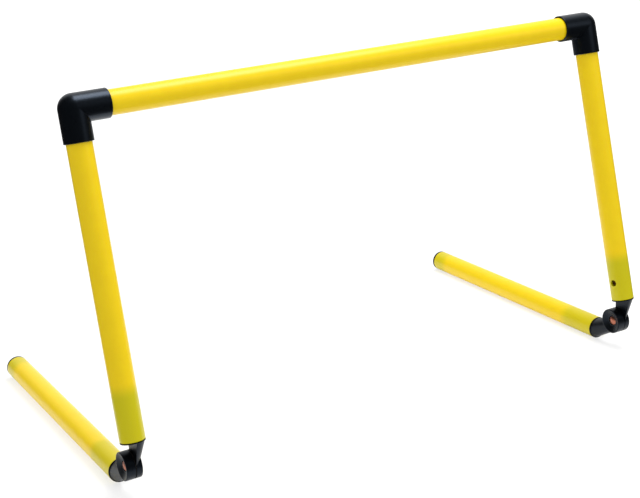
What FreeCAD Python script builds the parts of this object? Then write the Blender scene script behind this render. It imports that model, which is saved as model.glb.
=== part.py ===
import FreeCAD, Part
import math
import os

# Speed hurdle: a crossbar on two uprights that lean back over two feet, which fold up on lap hinges.
# X runs along the crossbar, Y from the hinges to the feet's far ends, Z up.
# Lengths are in millimetres and the floor is at Z = 0, under the middle of the hurdle.

# Tubes
tube_od = 20.0
tube_wall = 2.0
tube_edge_chamfer = 0.5
upright_spacing = 486.0
bar_height = 297.0
upright_lean_degrees = 12.0
foot_length = 259.0

# Slip elbows at the top corners
elbow_od = 23.3
elbow_bar_leg = 27.2
elbow_upright_leg = 25.8
elbow_stop = 11.0
socket_fit = 0.05
mouth_chamfer = 0.6
mouth_round = 0.6

# Place of the hinge pins
pin_set_back = 11.8
pin_rise = 16.5
lap_offset = 0.8
upper_neck = 20.5
lower_neck = 28.0

# Hinge knuckles
eye_radius = 11.4
upper_eye_thickness = 5.0
lower_eye_thickness = 7.4
eye_round = 0.6
collar_thickness = 1.0
collar_round = 0.3
neck_inset = 0.6
neck_outer_reach = 11.2
neck_inner_reach = 2.5
neck_side_inset = 0.8
dish_radius = 10.3
dish_floor_radius = 5.2
dish_depth = 2.4
head_recess_radius = 4.5
head_recess_depth = 3.4
burr_recess_radius = 4.8
burr_recess_depth = 2.0
lip_chamfer = 0.5
plug_length = 40.0
plug_solid_length = 30.0
plug_fit = 0.1
plug_core_wall = 3.0
plug_lead = 1.0

# Hinge rivets, their burrs and the friction washers between the eyes
pin_radius = 2.5
pin_running_fit = 0.05
face_clearance = 0.05
rivet_head_radius = 4.0
rivet_head_height = 1.6
rivet_head_dome = 1.2
rivet_tail_radius = 3.2
rivet_tail_height = 1.2
rivet_tail_dome = 0.8
burr_radius = 4.2
burr_thickness = 0.8
washer_radius = 10.2
washer_thickness = 0.8

# Screws that hold the plugs in the tubes
screw_rise = 16.5
screw_turn_degrees = 10.0
screw_head_radius = 2.7
screw_head_height = 1.4
screw_head_round = 0.6
screw_hole_fit = 0.3
screw_seat_depth = 1.6
screw_shank_radius = 1.5
screw_length = 6.0
drive_width = 0.9
drive_reach = 1.6
drive_depth = 0.7

# End caps of the feet
cap_flange = 2.4
cap_round = 0.6
cap_plug_length = 18.0

# Overrun of every cut past the face that it opens
overrun = 1.0

# Values worked out from the sizes above
tube_radius = tube_od / 2
bore_radius = tube_radius - tube_wall
elbow_radius = elbow_od / 2
plug_radius = bore_radius - plug_fit
core_radius = plug_radius - plug_core_wall
pin_bore_radius = pin_radius + pin_running_fit
screw_hole_radius = screw_head_radius + screw_hole_fit
screw_seat = plug_radius - screw_seat_depth
upper_flat = washer_thickness / 2 - lap_offset
lower_flat = washer_thickness / 2 + face_clearance + lap_offset
upper_face = upper_flat + upper_eye_thickness
lower_face = lower_flat + lower_eye_thickness
lean = math.radians(upright_lean_degrees)
screw_turn = math.radians(screw_turn_degrees)
pin_height = tube_radius + pin_rise
corner_rise = (bar_height - pin_height) / math.cos(lean) - pin_set_back * math.tan(lean)

# The box of the hurdle runs from the collars' lower front edges to the caps, and is centred on the origin.
collar_edge_out = pin_set_back + tube_radius - collar_round
collar_edge_up = upper_neck - collar_thickness + collar_round
front_reach = collar_edge_out * math.cos(lean) - collar_edge_up * math.sin(lean) + collar_round
back_reach = lower_neck + foot_length + cap_flange
pin_y = (front_reach - back_reach) / 2

Vector = FreeCAD.Vector
ORIGIN = Vector(0, 0, 0)
ALONG_X = Vector(1, 0, 0)
ALONG_Y = Vector(0, 1, 0)
ALONG_Z = Vector(0, 0, 1)
SIDES = {"left": -1, "right": 1}


def placement(origin, x_axis, y_axis, z_axis):
    """The placement that takes the local axes to the three given directions, from the given origin."""
    rows = [(x, y, z, o) for x, y, z, o in zip(x_axis, y_axis, z_axis, origin)]
    return FreeCAD.Placement(FreeCAD.Matrix(*rows[0], *rows[1], *rows[2], 0, 0, 0, 1))


def at(shape, place):
    """A copy of a shape that was made in local axes, set in its place on the hurdle."""
    placed = shape.copy()
    placed.Placement = place * shape.Placement
    return placed


def rod(radius, start, axis, length):
    """A cylinder from its start point along an axis."""
    return Part.makeCylinder(radius, length, start, axis)


def rounded_rod(radius, start, axis, length, rounding):
    """A cylinder whose rim at the far end is rounded."""
    body = rod(radius, start, axis, length)
    end = start + axis * length
    rims = [edge for edge in body.Edges
            if isinstance(edge.Curve, Part.Circle) and edge.Curve.Center.isEqual(end, rounding / 2)]
    return body.makeFillet(rounding, rims)


def domed_rod(radius, start, axis, length, dome):
    """A cylinder whose far end swells into a dome of the given rise."""
    dome_radius = (radius * radius + dome * dome) / (2 * dome)
    centre = start + axis * (length - dome_radius)
    return rod(radius, start, axis, length).common(Part.makeSphere(dome_radius, centre))


def pipe(start, axis, length):
    """A length of the yellow tube, its outer edges broken by a small chamfer."""
    body = rod(tube_radius, start, axis, length)
    rims = [edge for edge in body.Edges if isinstance(edge.Curve, Part.Circle)]
    hollow = rod(bore_radius, start - axis * overrun, axis, length + 2 * overrun)
    return body.makeChamfer(tube_edge_chamfer, rims).cut(hollow)


def screw_hole(centre, direction):
    """The cutter for the hole that lets a screw's head through a tube's wall down to its seat."""
    depth = tube_radius - screw_seat + overrun
    return rod(screw_hole_radius, centre + direction * screw_seat, direction, depth)


def screw(centre, direction, across):
    """A self-tapping screw with a cross recess, its head seated on the plug inside the tube."""
    seat = centre + direction * screw_seat
    head = rounded_rod(screw_head_radius, seat, direction, screw_head_height, screw_head_round)
    body = head.fuse(rod(screw_shank_radius, seat, direction * -1, screw_length))
    floor = seat + direction * (screw_head_height - drive_depth)
    for along, side in ((across, direction.cross(across)), (direction.cross(across), across * -1)):
        corner = floor - along * drive_reach - side * (drive_width / 2)
        edge = [corner, corner + along * 2 * drive_reach]
        edge += [point + side * drive_width for point in reversed(edge)]
        slot = Part.Face(Part.makePolygon(edge + [corner]))
        body = body.cut(slot.extrude(direction * (drive_depth + overrun)))
    return body.removeSplitter()


def neck_section(height, outer, inner, flat, depth):
    """A D-shaped section of a knuckle's neck: flat on the lap's side, bowed on the other."""
    start = Vector(flat, outer, height)
    middle = Vector(flat + depth, (outer + inner) / 2, height)
    end = Vector(flat, inner, height)
    bow = Part.Arc(start, middle, end).toShape()
    return Part.Wire([bow, Part.LineSegment(end, start).toShape()])


def plug(axis_y, start):
    """The cored plug that fills the end of a tube, with a lead at its far end."""
    foot = Vector(0, axis_y, start)
    tip = foot + ALONG_Z * (plug_length - plug_lead)
    body = rod(plug_radius, foot, ALONG_Z, plug_length - plug_lead)
    body = body.fuse(Part.makeCone(plug_radius, plug_radius - plug_lead, plug_lead, tip, ALONG_Z))
    core_start = foot + ALONG_Z * plug_solid_length
    return body.cut(rod(core_radius, core_start, ALONG_Z, plug_length - plug_solid_length + overrun))


def sunk_seat(face, depth, radius, mouth_depth, mouth_floor_radius, mouth_radius):
    """The cutter for a round seat about the pin, sunk in a face across X, with a cone for its mouth."""
    seat = rod(radius, ALONG_X * (face - depth), ALONG_X, depth + overrun)
    cone_start = ALONG_X * (face - mouth_depth)
    return seat.fuse(Part.makeCone(mouth_floor_radius, mouth_radius, mouth_depth, cone_start, ALONG_X))


def knuckle(axis_y, neck, flat, eye_thickness, seat, screw_direction):
    """One half of a lap hinge, in axes whose origin is the pin, X along the pin and Z along its tube.

    Its eye lies beside the lap, at +X, with the seat sunk in its outer face. Its neck slants from
    the eye to a collar on the tube's end, and its plug runs on inside the tube.
    """
    collar_start = neck - collar_thickness
    collar = rounded_rod(tube_radius, Vector(0, axis_y, neck), ALONG_Z * -1, collar_thickness, collar_round)
    neck_radius = tube_radius - neck_inset
    at_collar = neck_section(collar_start + collar_round, axis_y - neck_radius, axis_y + neck_radius, flat,
                             neck_radius - flat)
    at_eye = neck_section(0, -neck_outer_reach, neck_inner_reach, flat, eye_thickness - neck_side_inset)
    body = Part.makeLoft([at_eye, at_collar], True, True)
    eye = rounded_rod(eye_radius, ALONG_X * flat, ALONG_X, eye_thickness, eye_round)
    body = body.fuse([collar, eye, plug(axis_y, neck)])
    bore = rod(pin_bore_radius, ALONG_X * (flat - overrun), ALONG_X, eye_thickness + 2 * overrun)
    centre = Vector(0, axis_y, neck + screw_rise)
    pilot_mouth = centre + screw_direction * screw_seat
    pilot = rod(screw_shank_radius, pilot_mouth, screw_direction * -1, screw_length)
    return body.cut([bore, seat, pilot, screw_hole(centre, screw_direction)]).removeSplitter()


def elbow():
    """A slip elbow about its corner, with one socket down Z and the other along +X."""
    socket_radius = tube_radius + socket_fit
    body = Part.makeSphere(elbow_radius)
    cuts = [Part.makeSphere(bore_radius)]
    for leg, length in ((ALONG_Z * -1, elbow_upright_leg), (ALONG_X, elbow_bar_leg)):
        body = body.fuse(rounded_rod(elbow_radius, ORIGIN, leg, length, mouth_round))
        mouth = leg * (length - mouth_chamfer)
        cuts.append(rod(bore_radius, ORIGIN, leg, elbow_stop))
        cuts.append(rod(socket_radius, leg * elbow_stop, leg, length - elbow_stop + overrun))
        cuts.append(Part.makeCone(socket_radius, socket_radius + mouth_chamfer, mouth_chamfer, mouth, leg))
    return body.cut(cuts).removeSplitter()


def rivet():
    """A copper rivet along X, its head in the foot's eye and its set tail over the burr in the other."""
    head_seat = lower_face - head_recess_depth + face_clearance
    tail_seat = upper_face - burr_recess_depth + burr_thickness
    head_start = ALONG_X * -head_seat
    tail_start = ALONG_X * tail_seat
    shank = rod(pin_radius, head_start, ALONG_X, head_seat + tail_seat)
    head = domed_rod(rivet_head_radius, head_start, ALONG_X * -1, rivet_head_height, rivet_head_dome)
    tail = domed_rod(rivet_tail_radius, tail_start, ALONG_X, rivet_tail_height, rivet_tail_dome)
    return shank.fuse([head, tail]).removeSplitter()


def ring(radius, start, thickness):
    """A flat washer round the hinge pin."""
    hole = rod(pin_bore_radius, ALONG_X * (start - overrun), ALONG_X, thickness + 2 * overrun)
    return rod(radius, ALONG_X * start, ALONG_X, thickness).cut(hole)


def end_cap(axis_y, seat):
    """The cap at a foot's far end: a rounded flange as wide as the tube, on a hollow plug."""
    centre = Vector(0, axis_y, seat)
    flange = rounded_rod(tube_radius, centre, ALONG_Z, cap_flange, cap_round)
    stem = rod(plug_radius, centre, ALONG_Z * -1, cap_plug_length)
    core = rod(core_radius, centre, ALONG_Z * -1, cap_plug_length + overrun)
    return flange.fuse(stem.cut(core)).removeSplitter()


def upright_group(side):
    """The pieces that stay with one upright, in axes at the pin with Z up along the tube."""
    axis_y = -pin_set_back
    inward = Vector(-side * math.cos(screw_turn), -math.sin(screw_turn), 0)
    screw_centre = Vector(0, axis_y, upper_neck + screw_rise)
    corner = Vector(0, axis_y, corner_rise)
    tube = pipe(Vector(0, axis_y, upper_neck), ALONG_Z, corner_rise - elbow_stop - upper_neck)
    turned = elbow()
    if side > 0:
        turned.rotate(ORIGIN, ALONG_Z, 180)
    turned.translate(corner)
    burr_seat = sunk_seat(upper_face, burr_recess_depth, burr_recess_radius, lip_chamfer, burr_recess_radius,
                          burr_recess_radius + lip_chamfer)
    return {
        "upright": tube.cut(screw_hole(screw_centre, inward)),
        "elbow": turned,
        "upper_knuckle": knuckle(axis_y, upper_neck, upper_flat, upper_eye_thickness, burr_seat, inward),
        "upright_screw": screw(screw_centre, inward, ALONG_Z),
        "hinge_rivet": rivet(),
        "rivet_burr": ring(burr_radius, upper_face - burr_recess_depth, burr_thickness),
        "friction_washer": ring(washer_radius, upper_flat - washer_thickness, washer_thickness),
    }


def foot_group():
    """The pieces of one folding foot, in axes at the pin with Z along the tube and Y up."""
    axis_y = -pin_rise
    down = ALONG_Y * -1
    screw_centre = Vector(0, axis_y, lower_neck + screw_rise)
    tube = pipe(Vector(0, axis_y, lower_neck), ALONG_Z, foot_length)
    dish = sunk_seat(lower_face, head_recess_depth, head_recess_radius, dish_depth, dish_floor_radius,
                     dish_radius)
    return {
        "foot_tube": tube.cut(screw_hole(screw_centre, down)),
        "lower_knuckle": knuckle(axis_y, lower_neck, lower_flat, lower_eye_thickness, dish, down),
        "foot_screw": screw(screw_centre, down, ALONG_Z),
        "foot_cap": end_cap(axis_y, lower_neck + foot_length),
    }


def hurdle():
    """Every piece of the hurdle by the name of its node, in its place."""
    up = Vector(0, math.sin(lean), math.cos(lean))
    back = Vector(0, math.cos(lean), -math.sin(lean))
    pieces = {}
    for name, side in SIDES.items():
        pin = Vector(side * upright_spacing / 2, pin_y, pin_height)
        groups = ((upright_group(side), placement(pin, ALONG_X, back, up)),
                  (foot_group(), placement(pin, ALONG_X * -1, ALONG_Z, ALONG_Y)))
        for group, place in groups:
            for piece, shape in group.items():
                pieces[name + "_" + piece] = at(shape, place)
    bar_y = pin_y - pin_set_back * math.cos(lean) + corner_rise * math.sin(lean)
    bar_end = upright_spacing / 2 - elbow_stop
    pieces["crossbar"] = pipe(Vector(-bar_end, bar_y, bar_height), ALONG_X, 2 * bar_end)
    return pieces


os.makedirs("parts", exist_ok=True)
for node, solid in hurdle().items():
    solid.exportStep(os.path.join("parts", node + ".step"))
print("hinge pin at y", round(pin_y, 4), "z", pin_height)
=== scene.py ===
import logging
import math
from dataclasses import dataclass, field
from enum import Enum

import bpy
from mathutils import Euler, Matrix, Vector

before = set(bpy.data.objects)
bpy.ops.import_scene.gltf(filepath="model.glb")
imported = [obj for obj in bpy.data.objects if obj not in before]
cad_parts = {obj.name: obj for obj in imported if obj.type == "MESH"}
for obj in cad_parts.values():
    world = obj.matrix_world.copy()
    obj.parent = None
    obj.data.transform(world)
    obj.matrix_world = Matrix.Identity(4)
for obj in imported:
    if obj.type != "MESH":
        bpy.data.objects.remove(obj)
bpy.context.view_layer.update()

# The hurdle stands on a white studio floor, seen from the left front.
# Lengths are in metres unless a name says mm.

MM_PER_METRE = 1000.0
MM = 1 / MM_PER_METRE
QUARTER_TURN = math.radians(90.0)
UNTURNED = (0.0, 0.0, 0.0)
LOG = logging.getLogger("hurdle")

# How far the uprights lean back, as their solids do
LEAN = math.radians(12.0)

# A mix node's colour sockets, which share their names with its number sockets
MIX_FIRST = 6
MIX_SECOND = 7
MIX_RESULT = 2

Pair = tuple[float, float]
Triple = tuple[float, float, float]
Edges = tuple[float, float, float, float]


class Side(Enum):
    """The two ends of the crossbar."""

    LEFT = "left"
    RIGHT = "right"


class Run(Enum):
    """Which way a tube runs, as the turn that lays its length along the pattern's Z."""

    BAR = (0.0, -QUARTER_TURN, 0.0)
    UPRIGHT = (LEAN, 0.0, 0.0)
    FOOT = (QUARTER_TURN, 0.0, 0.0)

    def along(self, point: Vector) -> float:
        """The distance of a point along this run."""
        return (Euler(self.value).to_matrix() @ point).z


def linear(hex_colour: str) -> tuple[float, float, float, float]:
    """Turns an sRGB hex colour into the linear values that shaders take, by the sRGB standard's curve.

    Args:
        hex_colour: Six hex digits after a hash.

    Returns:
        Red, green, blue and full alpha.
    """
    channels = [byte / 255 for byte in bytes.fromhex(hex_colour[1:])]
    red, green, blue = (c / 12.92 if c <= 0.04045 else ((c + 0.055) / 1.055) ** 2.4 for c in channels)
    return red, green, blue, 1.0


def add_node(tree: bpy.types.NodeTree, kind: str, settings: dict | None = None,
             inputs: dict | None = None) -> bpy.types.Node:
    """Adds a node to a tree with its settings and links.

    Args:
        tree: The tree that gets the node.
        kind: The node's type, such as ShaderNodeBump.
        settings: Properties of the node by name.
        inputs: A value or an output socket for each input, by name or number.

    Returns:
        The new node.
    """
    node = tree.nodes.new(kind)
    for name, value in (settings or {}).items():
        setattr(node, name, value)
    for name, value in (inputs or {}).items():
        if isinstance(value, bpy.types.NodeSocket):
            tree.links.new(value, node.inputs[name])
        else:
            node.inputs[name].default_value = value
    return node


def new_material(name: str) -> tuple[bpy.types.Material, bpy.types.NodeTree]:
    """Makes an empty node material.

    Args:
        name: The finish that it shows.

    Returns:
        The material and its node tree.
    """
    material = bpy.data.materials.new(name)
    material.use_nodes = True
    material.node_tree.nodes.clear()
    return material, material.node_tree


def show(tree: bpy.types.NodeTree, shader: bpy.types.Node) -> None:
    """Links a shader to the tree's material output."""
    add_node(tree, "ShaderNodeOutputMaterial", inputs={"Surface": shader.outputs[0]})


def pattern_space(tree: bpy.types.NodeTree, turn: Triple, sizes_mm: Triple) -> bpy.types.NodeSocket:
    """Gives texture coordinates in which one unit is a real size.

    Args:
        tree: The material's tree.
        turn: The turn from the hurdle's axes to the pattern's, in radians.
        sizes_mm: The real size of one unit of the pattern along its X, Y and Z.

    Returns:
        The socket with the coordinates.
    """
    place = add_node(tree, "ShaderNodeTexCoord")
    turned = add_node(tree, "ShaderNodeMapping", inputs={
        "Vector": place.outputs["Object"], "Rotation": turn})
    scale = tuple(1 / (size * MM) for size in sizes_mm)
    sized = add_node(tree, "ShaderNodeMapping", inputs={"Vector": turned.outputs[0], "Scale": scale})
    return sized.outputs[0]


@dataclass(frozen=True)
class Zone:
    """A stretch of a tube with a black plug inside, from one place along it to another.

    The weight says how much of the plug shows through the wall: all of it, or less where painted light
    pales it.
    """

    start: float
    end: float
    weight: float = 1.0


@dataclass(frozen=True)
class ExtrudedPvc:
    """Yellow PVC tube, extruded: semi-gloss, with faint draw lines along its length.

    The wall lets a little light through, so it looks darker and greener where a black plug sits inside.
    The roughness runs from clean to scuffed, and the glow is the light that spreads within the wall.
    """

    colour: str = "#F6D300"
    pale: str = "#F9D700"
    over_plug: str = "#CFC400"
    plug_edge_mm: float = 14.0
    roughness: Pair = (0.27, 0.42)
    specular: float = 0.35
    cloud_mm: float = 45.0
    cloud_detail: float = 3.0
    cloud_range: Pair = (0.35, 0.75)
    scuff_mm: float = 9.0
    scuff_detail: float = 6.0
    scuff_breakup: float = 0.65
    scuff_range: Pair = (0.3, 0.75)
    # Real draw lines are finer. These are as wide as they need to be to show.
    line_width_mm: float = 0.8
    line_length_mm: float = 60.0
    line_depth_mm: float = 0.1
    line_strength: float = 0.12
    line_detail: float = 4.0
    glow_weight: float = 0.10
    glow_reach: Triple = (1.0, 0.7, 0.1)
    glow_mm: float = 2.0

    def make(self, name: str, run: Run, zones: list[Zone]) -> bpy.types.Material:
        """Makes the tube's material.

        Args:
            name: The material's name.
            run: Which way the tube runs.
            zones: The stretches that hold a plug.

        Returns:
            The material.
        """
        material, tree = new_material(name)
        colour = self.cloud(tree, run)
        for zone in zones:
            colour = self.shade(tree, run, zone, colour)
        line_sizes = (self.line_width_mm, self.line_width_mm, self.line_length_mm)
        lines = add_node(tree, "ShaderNodeTexNoise", inputs={
            "Vector": pattern_space(tree, run.value, line_sizes), "Detail": self.line_detail})
        scuffs = add_node(tree, "ShaderNodeTexNoise", inputs={
            "Vector": pattern_space(tree, run.value, (self.scuff_mm,) * 3),
            "Detail": self.scuff_detail, "Roughness": self.scuff_breakup})
        faint, full = self.scuff_range
        clean, scuffed = self.roughness
        gloss = add_node(tree, "ShaderNodeMapRange", inputs={
            "Value": scuffs.outputs["Fac"], "From Min": faint, "From Max": full,
            "To Min": clean, "To Max": scuffed})
        relief = add_node(tree, "ShaderNodeBump", inputs={
            "Height": lines.outputs["Fac"], "Strength": self.line_strength,
            "Distance": self.line_depth_mm * MM})
        shader = add_node(tree, "ShaderNodeBsdfPrincipled", inputs={
            "Base Color": colour, "Roughness": gloss.outputs[0], "Specular IOR Level": self.specular,
            "Normal": relief.outputs[0], "Subsurface Weight": self.glow_weight,
            "Subsurface Radius": self.glow_reach, "Subsurface Scale": self.glow_mm * MM})
        show(tree, shader)
        return material

    def cloud(self, tree: bpy.types.NodeTree, run: Run) -> bpy.types.NodeSocket:
        """Gives the tube's yellow, clouded with a paler one.

        Args:
            tree: The material's tree.
            run: Which way the tube runs.

        Returns:
            The colour.
        """
        clouds = add_node(tree, "ShaderNodeTexNoise", inputs={
            "Vector": pattern_space(tree, run.value, (self.cloud_mm,) * 3), "Detail": self.cloud_detail})
        tint = add_node(tree, "ShaderNodeValToRGB", inputs={"Fac": clouds.outputs["Fac"]})
        colours = (self.colour, self.pale)
        for stop, place, colour in zip(tint.color_ramp.elements, self.cloud_range, colours):
            stop.position = place
            stop.color = linear(colour)
        return tint.outputs["Color"]

    def shade(self, tree: bpy.types.NodeTree, run: Run, zone: Zone,
              colour: bpy.types.NodeSocket) -> bpy.types.NodeSocket:
        """Darkens a stretch of the tube over a plug.

        Args:
            tree: The material's tree.
            run: Which way the tube runs.
            zone: The stretch, along the tube.
            colour: The colour so far.

        Returns:
            The colour with the stretch in it.
        """
        along = add_node(tree, "ShaderNodeSeparateXYZ", inputs={
            "Vector": pattern_space(tree, run.value, (MM_PER_METRE,) * 3)})
        edge = self.plug_edge_mm * MM / 2
        inside = zone.weight
        for place, sign in ((zone.start, 1.0), (zone.end, -1.0)):
            step = add_node(tree, "ShaderNodeMapRange", {"interpolation_type": "SMOOTHSTEP"}, {
                "Value": along.outputs["Z"],
                "From Min": place - edge * sign, "From Max": place + edge * sign})
            inside = add_node(tree, "ShaderNodeMath", {"operation": "MULTIPLY"}, {
                0: inside, 1: step.outputs[0]}).outputs[0]
        mixed = add_node(tree, "ShaderNodeMix", {"data_type": "RGBA"}, {
            "Factor": inside, MIX_FIRST: colour, MIX_SECOND: linear(self.over_plug)})
        return mixed.outputs[MIX_RESULT]


@dataclass(frozen=True)
class MouldedNylon:
    """Black nylon, injection moulded in a spark-eroded tool: satin, with fine grain and bluish highlights.

    The roughness runs from clean to worn.
    """

    colour: str = "#060709"
    worn: str = "#0C0F13"
    sheen: str = "#C4DBFA"
    roughness: Pair = (0.22, 0.40)
    specular: float = 0.5
    # Real grain is finer. This is as coarse as it needs to be to show.
    grain_mm: float = 0.45
    grain_depth_mm: float = 0.08
    grain_strength: float = 0.15
    grain_detail: float = 2.0
    rub_mm: float = 6.0
    rub_detail: float = 5.0

    def make(self, name: str) -> bpy.types.Material:
        """Makes the moulding's material.

        Args:
            name: The material's name.

        Returns:
            The material.
        """
        material, tree = new_material(name)
        grain = add_node(tree, "ShaderNodeTexNoise", inputs={
            "Vector": pattern_space(tree, UNTURNED, (self.grain_mm,) * 3), "Detail": self.grain_detail})
        rubbed = add_node(tree, "ShaderNodeTexNoise", inputs={
            "Vector": pattern_space(tree, UNTURNED, (self.rub_mm,) * 3), "Detail": self.rub_detail})
        tint = add_node(tree, "ShaderNodeMix", {"data_type": "RGBA"}, {
            "Factor": rubbed.outputs["Fac"],
            MIX_FIRST: linear(self.colour), MIX_SECOND: linear(self.worn)})
        clean, worn = self.roughness
        gloss = add_node(tree, "ShaderNodeMapRange", inputs={
            "Value": rubbed.outputs["Fac"], "To Min": clean, "To Max": worn})
        relief = add_node(tree, "ShaderNodeBump", inputs={
            "Height": grain.outputs["Fac"], "Strength": self.grain_strength,
            "Distance": self.grain_depth_mm * MM})
        shader = add_node(tree, "ShaderNodeBsdfPrincipled", inputs={
            "Base Color": tint.outputs[MIX_RESULT], "Roughness": gloss.outputs[0],
            "Specular IOR Level": self.specular, "Specular Tint": linear(self.sheen),
            "Normal": relief.outputs[0]})
        show(tree, shader)
        return material


@dataclass(frozen=True)
class GlassFilledNylon(MouldedNylon):
    """Black nylon filled with glass for strength, moulded alike: duller, with weaker highlights."""

    roughness: Pair = (0.28, 0.46)
    specular: float = 0.22


@dataclass(frozen=True)
class SetCopper:
    """Copper, cold-headed and set by hammer: pinkish and worn, with browner patches and shallow dimples.

    The roughness runs from bright to tarnished.
    """

    colour: str = "#B97862"
    tarnish: str = "#8A4F3E"
    roughness: Pair = (0.24, 0.47)
    metallic: float = 1.0
    patch_mm: float = 2.2
    patch_detail: float = 4.0
    dimple_mm: float = 1.1
    dimple_depth_mm: float = 0.1
    dimple_strength: float = 0.2

    def make(self, name: str) -> bpy.types.Material:
        """Makes the metal's material.

        Args:
            name: The material's name.

        Returns:
            The material.
        """
        material, tree = new_material(name)
        patches = add_node(tree, "ShaderNodeTexNoise", inputs={
            "Vector": pattern_space(tree, UNTURNED, (self.patch_mm,) * 3), "Detail": self.patch_detail})
        tint = add_node(tree, "ShaderNodeMix", {"data_type": "RGBA"}, {
            "Factor": patches.outputs["Fac"],
            MIX_FIRST: linear(self.colour), MIX_SECOND: linear(self.tarnish)})
        bright, tarnished = self.roughness
        gloss = add_node(tree, "ShaderNodeMapRange", inputs={
            "Value": patches.outputs["Fac"], "To Min": bright, "To Max": tarnished})
        dimples = add_node(tree, "ShaderNodeTexVoronoi", {"feature": "SMOOTH_F1"}, {
            "Vector": pattern_space(tree, UNTURNED, (self.dimple_mm,) * 3)})
        relief = add_node(tree, "ShaderNodeBump", inputs={
            "Height": dimples.outputs["Distance"], "Strength": self.dimple_strength,
            "Distance": self.dimple_depth_mm * MM})
        shader = add_node(tree, "ShaderNodeBsdfPrincipled", inputs={
            "Base Color": tint.outputs[MIX_RESULT], "Roughness": gloss.outputs[0],
            "Metallic": self.metallic, "Normal": relief.outputs[0]})
        show(tree, shader)
        return material


@dataclass(frozen=True)
class BlackenedSteel:
    """Steel screw, rolled and blackened: brown-black and dull, brighter where a driver rubbed it."""

    colour: str = "#4A3418"
    rubbed: str = "#6B4A20"
    roughness: float = 0.45
    metallic: float = 1.0
    rub_mm: float = 1.4
    rub_detail: float = 3.0

    def make(self, name: str) -> bpy.types.Material:
        """Makes the screws' material.

        Args:
            name: The material's name.

        Returns:
            The material.
        """
        material, tree = new_material(name)
        rubs = add_node(tree, "ShaderNodeTexNoise", inputs={
            "Vector": pattern_space(tree, UNTURNED, (self.rub_mm,) * 3), "Detail": self.rub_detail})
        tint = add_node(tree, "ShaderNodeMix", {"data_type": "RGBA"}, {
            "Factor": rubs.outputs["Fac"],
            MIX_FIRST: linear(self.colour), MIX_SECOND: linear(self.rubbed)})
        shader = add_node(tree, "ShaderNodeBsdfPrincipled", inputs={
            "Base Color": tint.outputs[MIX_RESULT], "Roughness": self.roughness,
            "Metallic": self.metallic})
        show(tree, shader)
        return material


@dataclass(frozen=True)
class PressedFibre:
    """Vulcanised fibre, punched from sheet: dark, dull and faintly mottled at its edge."""

    colour: str = "#241F1C"
    fleck: str = "#3A322C"
    roughness: float = 0.75
    ior: float = 1.5
    # Real flecks are finer. These are as coarse as they need to be to show.
    fleck_mm: float = 0.9
    fleck_detail: float = 4.0

    def make(self, name: str) -> bpy.types.Material:
        """Makes the washer's material.

        Args:
            name: The material's name.

        Returns:
            The material.
        """
        material, tree = new_material(name)
        flecks = add_node(tree, "ShaderNodeTexNoise", inputs={
            "Vector": pattern_space(tree, UNTURNED, (self.fleck_mm,) * 3), "Detail": self.fleck_detail})
        tint = add_node(tree, "ShaderNodeMix", {"data_type": "RGBA"}, {
            "Factor": flecks.outputs["Fac"],
            MIX_FIRST: linear(self.colour), MIX_SECOND: linear(self.fleck)})
        shader = add_node(tree, "ShaderNodeBsdfPrincipled", inputs={
            "Base Color": tint.outputs[MIX_RESULT], "Roughness": self.roughness, "IOR": self.ior})
        show(tree, shader)
        return material


def wear(node: str, material: bpy.types.Material) -> None:
    """Puts a finish on a piece that keeps its solid's shape.

    Args:
        node: The piece's name.
        material: Its finish.
    """
    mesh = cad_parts[node].data
    mesh.materials.clear()
    mesh.materials.append(material)
    LOG.info("%s wears %s", node, material.name)


def reach(node: str, run: Run, weight: float = 1.0) -> Zone:
    """The stretch that a piece takes up along a run.

    Args:
        node: The piece's name.
        run: Which way to measure.
        weight: How much of the piece shows through a tube round it.

    Returns:
        The stretch.
    """
    places = [run.along(vertex.co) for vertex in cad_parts[node].data.vertices]
    return Zone(min(places), max(places), weight)


@dataclass
class TopRail:
    """The crossbar and the slip elbows at its ends."""

    nylon: bpy.types.Material
    tube: ExtrudedPvc = field(default_factory=ExtrudedPvc)

    def dress(self) -> None:
        """Finishes the crossbar and both elbows."""
        wear("crossbar", self.tube.make("extruded_yellow_pvc_crossbar", Run.BAR, []))
        for side in Side:
            wear(f"{side.value}_elbow", self.nylon)


@dataclass
class Upright:
    """One upright tube and the screw that holds the hinge's plug in it."""

    side: Side
    steel: bpy.types.Material
    tube: ExtrudedPvc = field(default_factory=ExtrudedPvc)

    def dress(self) -> None:
        """Finishes the tube, darker over the plug, and the screw."""
        name = self.side.value
        plug = reach(f"{name}_upper_knuckle", Run.UPRIGHT)
        wear(f"{name}_upright", self.tube.make(f"extruded_yellow_pvc_{name}_upright", Run.UPRIGHT, [plug]))
        wear(f"{name}_upright_screw", self.steel)


@dataclass
class LapHinge:
    """The two black knuckles at the foot of an upright, their rivet and its washers."""

    side: Side
    nylon: bpy.types.Material
    copper: bpy.types.Material
    fibre: bpy.types.Material

    def dress(self) -> None:
        """Finishes the hinge's pieces."""
        name = self.side.value
        for piece, material in (("upper_knuckle", self.nylon), ("lower_knuckle", self.nylon),
                                ("hinge_rivet", self.copper), ("rivet_burr", self.copper),
                                ("friction_washer", self.fibre)):
            wear(f"{name}_{piece}", material)


@dataclass
class FoldingFoot:
    """One foot tube with its end cap and its screw.

    Painted light: the foot lies in the light from above, so its plug stretches are darkened less than the
    uprights'.
    """

    side: Side
    nylon: bpy.types.Material
    steel: bpy.types.Material
    tube: ExtrudedPvc = field(default_factory=ExtrudedPvc)
    # Painted light: a weight below one pales the plug stretches, as the light from above would
    painted_light_plug_weight: float = 0.8

    def dress(self) -> None:
        """Finishes the tube, darker over the plugs at both ends, the cap and the screw."""
        name = self.side.value
        plugs = [reach(f"{name}_{piece}", Run.FOOT, self.painted_light_plug_weight)
                 for piece in ("lower_knuckle", "foot_cap")]
        wear(f"{name}_foot_tube", self.tube.make(f"extruded_yellow_pvc_{name}_foot", Run.FOOT, plugs))
        wear(f"{name}_foot_cap", self.nylon)
        wear(f"{name}_foot_screw", self.steel)


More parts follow.
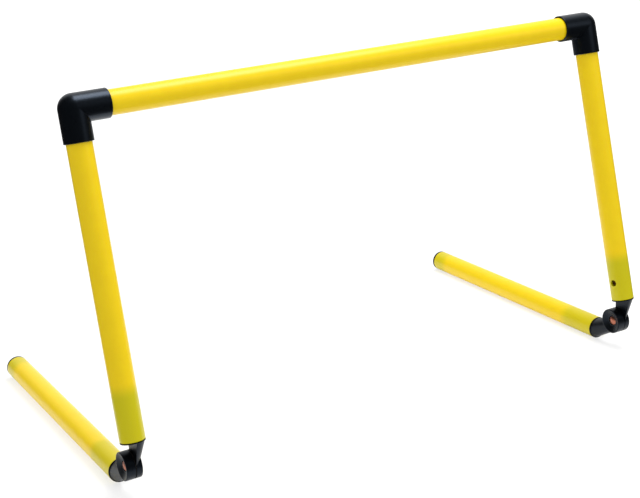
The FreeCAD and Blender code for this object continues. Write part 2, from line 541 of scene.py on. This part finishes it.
@dataclass
class SoftLamp:
    """A square softbox aimed at the hurdle."""

    name: str
    place: Triple
    size: float
    watts: float
    target: Triple = (0.0, -0.05, 0.15)

    def build(self) -> None:
        """Hangs the lamp."""
        data = bpy.data.lights.new(self.name, "AREA")
        data.shape = "SQUARE"
        data.size = self.size
        data.energy = self.watts
        lamp = bpy.data.objects.new(self.name, data)
        lamp.location = self.place
        aim = Vector(self.target) - Vector(self.place)
        lamp.rotation_euler = aim.to_track_quat("-Z", "Y").to_euler()
        bpy.context.scene.collection.objects.link(lamp)


@dataclass
class Studio:
    """A white floor and backdrop to look at, a sheet under the hurdle, and softboxes in a dim room.

    The floor is only seen, while the sheet throws light up and shows in reflections. Their edges are
    the left, front, right and back ones. The lift is the glow that keeps the paper white where it is
    seen, and it grows from near to far. In reflections the backdrop lies the given way, and its glow
    fades between the cosines of full and edge.
    """

    floor_edges: Edges = (-6.0, -6.0, 6.0, 6.0)
    floor_height: float = 0.0
    floor_cover: float = 0.5
    sheet_edges: Edges = (-0.36, -0.22, 0.38, 0.60)
    sheet_height: float = -1.0 * MM
    paper_colour: str = "#F4F4F4"
    near: float = 0.5
    near_lift: float = 0.30
    far: float = 2.0
    far_lift: float = 0.85
    white: str = "#FFFFFF"
    white_glow: float = 1.0
    world_strength: float = 0.76
    room_glow: float = 0.03
    backdrop_way: Triple = (0.45, 0.80, 0.40)
    backdrop_edge: float = 0.55
    backdrop_full: float = 0.95
    lamps: list[SoftLamp] = field(default_factory=lambda: [
        SoftLamp("top_softbox", (0.35, -0.12, 1.5), 0.8, 13.5),
        SoftLamp("right_softbox", (1.0, -1.4, 1.0), 0.9, 2.0),
    ])

    def build(self) -> None:
        """Lays the floor and the sheet, hangs the lamps and fills the room with white."""
        paper = self.paper()
        floor = self.lay("floor", self.floor_edges, self.floor_height, paper)
        for rays in ("diffuse", "glossy", "transmission", "shadow"):
            setattr(floor, f"visible_{rays}", False)
        sheet = self.lay("sheet", self.sheet_edges, self.sheet_height, paper)
        sheet.visible_camera = False
        for lamp in self.lamps:
            lamp.build()
        self.fill()

    @staticmethod
    def lay(name: str, edges: Edges, height: float, material: bpy.types.Material) -> bpy.types.Object:
        """Lays a flat piece on the ground.

        Args:
            name: The piece's name.
            edges: Its left, front, right and back edges.
            height: How high it lies.
            material: Its finish.

        Returns:
            The piece.
        """
        left, front, right, back = edges
        mesh = bpy.data.meshes.new(name)
        corners = [(left, front), (right, front), (right, back), (left, back)]
        mesh.from_pydata([(x, y, height) for x, y in corners], [], [(0, 1, 2, 3)])
        mesh.materials.append(material)
        piece = bpy.data.objects.new(name, mesh)
        bpy.context.scene.collection.objects.link(piece)
        return piece

    @staticmethod
    def seen(tree: bpy.types.NodeTree) -> bpy.types.NodeSocket:
        """Tells whether a surface is seen or only lights others.

        Args:
            tree: The surface's tree.

        Returns:
            One where it is seen, straight or in a reflection, and zero elsewhere.
        """
        path = add_node(tree, "ShaderNodeLightPath")
        either = path.outputs["Is Camera Ray"]
        for ray in ("Is Glossy Ray", "Is Transmission Ray"):
            either = add_node(tree, "ShaderNodeMath", {"operation": "MAXIMUM"}, {
                0: either, 1: path.outputs[ray]}).outputs[0]
        return either

    def paper(self) -> bpy.types.Material:
        """White paper: it looks white where it is seen, and keeps the shadow.

        It half covers what is below it, so that a foot turned under the floor still shows.

        Returns:
            The material.
        """
        material, tree = new_material("white_paper")
        material.cycles.emission_sampling = "NONE"
        paper = add_node(tree, "ShaderNodeBsdfDiffuse", inputs={"Color": linear(self.paper_colour)})
        place = add_node(tree, "ShaderNodeTexCoord")
        distance = add_node(tree, "ShaderNodeVectorMath", {"operation": "LENGTH"}, {
            0: place.outputs["Object"]})
        lift = add_node(tree, "ShaderNodeMapRange", {"interpolation_type": "SMOOTHSTEP"}, {
            "Value": distance.outputs["Value"], "From Min": self.near, "From Max": self.far,
            "To Min": self.near_lift, "To Max": self.far_lift})
        glow = add_node(tree, "ShaderNodeEmission", inputs={"Strength": lift.outputs[0]})
        bright = add_node(tree, "ShaderNodeAddShader", inputs={0: paper.outputs[0], 1: glow.outputs[0]})
        lit = add_node(tree, "ShaderNodeMixShader", inputs={
            0: self.seen(tree), 1: paper.outputs[0], 2: bright.outputs[0]})
        clear = add_node(tree, "ShaderNodeBsdfTransparent")
        veil = add_node(tree, "ShaderNodeMixShader", inputs={
            0: self.floor_cover, 1: clear.outputs[0], 2: bright.outputs[0]})
        path = add_node(tree, "ShaderNodeLightPath")
        show(tree, add_node(tree, "ShaderNodeMixShader", inputs={
            0: path.outputs["Is Camera Ray"], 1: lit.outputs[0], 2: veil.outputs[0]}))
        return material

    def fill(self) -> None:
        """Fills the room: white where seen, dim with a white backdrop in reflections, and evenly lit."""
        world = bpy.data.worlds.new("white_room")
        bpy.context.scene.world = world
        world.use_nodes = True
        world.cycles.sampling_method = "NONE"
        tree = world.node_tree
        tree.nodes.clear()
        way = add_node(tree, "ShaderNodeTexCoord").outputs["Generated"]
        facing = add_node(tree, "ShaderNodeVectorMath", {"operation": "DOT_PRODUCT"}, {
            0: way, 1: self.backdrop_way})
        glow = add_node(tree, "ShaderNodeMapRange", {"interpolation_type": "SMOOTHSTEP"}, {
            "Value": facing.outputs["Value"],
            "From Min": self.backdrop_edge, "From Max": self.backdrop_full,
            "To Min": self.room_glow, "To Max": self.white_glow})
        white = linear(self.white)
        light, mirrored, plain = (
            add_node(tree, "ShaderNodeBackground", inputs={"Color": white, "Strength": strength})
            for strength in (self.world_strength, glow.outputs[0], self.white_glow))
        reflected = add_node(tree, "ShaderNodeMixShader", inputs={
            0: self.seen(tree), 1: light.outputs[0], 2: mirrored.outputs[0]})
        path = add_node(tree, "ShaderNodeLightPath")
        mixed = add_node(tree, "ShaderNodeMixShader", inputs={
            0: path.outputs["Is Camera Ray"], 1: reflected.outputs[0], 2: plain.outputs[0]})
        add_node(tree, "ShaderNodeOutputWorld", inputs={"Surface": mixed.outputs[0]})


@dataclass
class PhotoCamera:
    """The camera at the photograph's place: left of the hurdle, in front and above, turned to the right."""

    place: Triple = (-0.56457, -1.04081, 0.49423)
    turn_degrees: float = 28.95
    dip_degrees: float = 15.38
    roll_degrees: float = -3.59
    lens_mm: float = 76.4
    sensor_mm: float = 36.0
    picture_shift: float = -0.0922

    def build(self) -> None:
        """Sets the camera up."""
        data = bpy.data.cameras.new("photo_camera")
        data.lens = self.lens_mm
        data.sensor_width = self.sensor_mm
        data.shift_y = self.picture_shift
        camera = bpy.data.objects.new("photo_camera", data)
        turn = Matrix.Rotation(math.radians(-self.turn_degrees), 4, "Z")
        dip = Matrix.Rotation(QUARTER_TURN - math.radians(self.dip_degrees), 4, "X")
        roll = Matrix.Rotation(math.radians(self.roll_degrees), 4, "Z")
        camera.matrix_world = Matrix.Translation(self.place) @ turn @ dip @ roll
        bpy.context.scene.collection.objects.link(camera)
        bpy.context.scene.camera = camera


def main() -> None:
    """Dresses the hurdle, then sets up the studio and the camera."""
    logging.basicConfig(level=logging.INFO, format="%(name)s: %(message)s")
    nylon = MouldedNylon().make("moulded_black_nylon")
    filled_nylon = GlassFilledNylon().make("moulded_glass_filled_nylon")
    copper = SetCopper().make("set_copper")
    steel = BlackenedSteel().make("blackened_steel")
    fibre = PressedFibre().make("pressed_fibre")
    TopRail(nylon).dress()
    for side in Side:
        Upright(side, steel).dress()
        LapHinge(side, filled_nylon, copper, fibre).dress()
        FoldingFoot(side, nylon, steel).dress()
    Studio().build()
    PhotoCamera().build()
    bpy.context.scene.view_settings.view_transform = "Standard"


if __name__ == "__main__":
    main()
